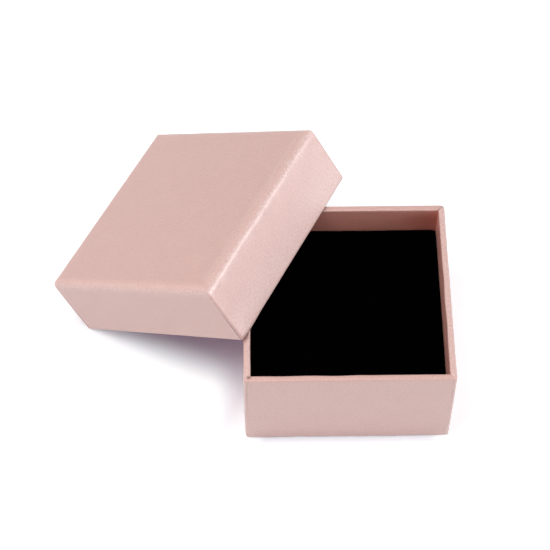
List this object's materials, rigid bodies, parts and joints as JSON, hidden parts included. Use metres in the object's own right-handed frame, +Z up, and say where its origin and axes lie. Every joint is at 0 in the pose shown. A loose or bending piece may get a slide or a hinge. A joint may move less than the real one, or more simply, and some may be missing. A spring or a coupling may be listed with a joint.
{
  "type": "jewelry box",
  "caption": "Small square pink paper-covered jewelry gift box with a telescoping lid leaning off the base and a black velvet foam insert.",
  "frame": {"origin": "middle of the base's underside, on the surface it stands on", "axes": "+Z up, front of the base towards -Y, the lid leans over the base's back left corner (-X, +Y)"},
  "size_m": [0.0927, 0.0791, 0.0409],
  "materials": {
    "pearl_paper": "pearlescent satin paper, fine laid grain",
    "greyboard": "raw grey board",
    "stay_tape": "brown kraft stay tape",
    "black_foam": "black soft foam",
    "black_velvet": "black short-pile velvet"
  },
  "bodies": {
    "base": {"base_board": "greyboard", "base_wrap": "pearl_paper", "base_underside": "pearl_paper", "base_stay_front_right": "stay_tape", "base_stay_back_right": "stay_tape", "base_stay_back_left": "stay_tape", "base_stay_front_left": "stay_tape"},
    "insert": {"insert_foam": "black_foam", "insert_velvet": "black_velvet"},
    "lid": {"lid_board": "greyboard", "lid_wrap": "pearl_paper", "lid_stay_front_right": "stay_tape", "lid_stay_back_right": "stay_tape", "lid_stay_back_left": "stay_tape", "lid_stay_front_left": "stay_tape"}
  },
  "joints": [
    {"name": "insert_lift", "type": "slide", "parent": "base", "child": "insert", "axis": [0, 0, 1], "range_m": [0, 0.03]},
    {"name": "lid_lift", "type": "slide", "parent": "insert", "child": "lid", "axis": [0, 0, 1], "range_m": [0, 0.06]}
  ]
}
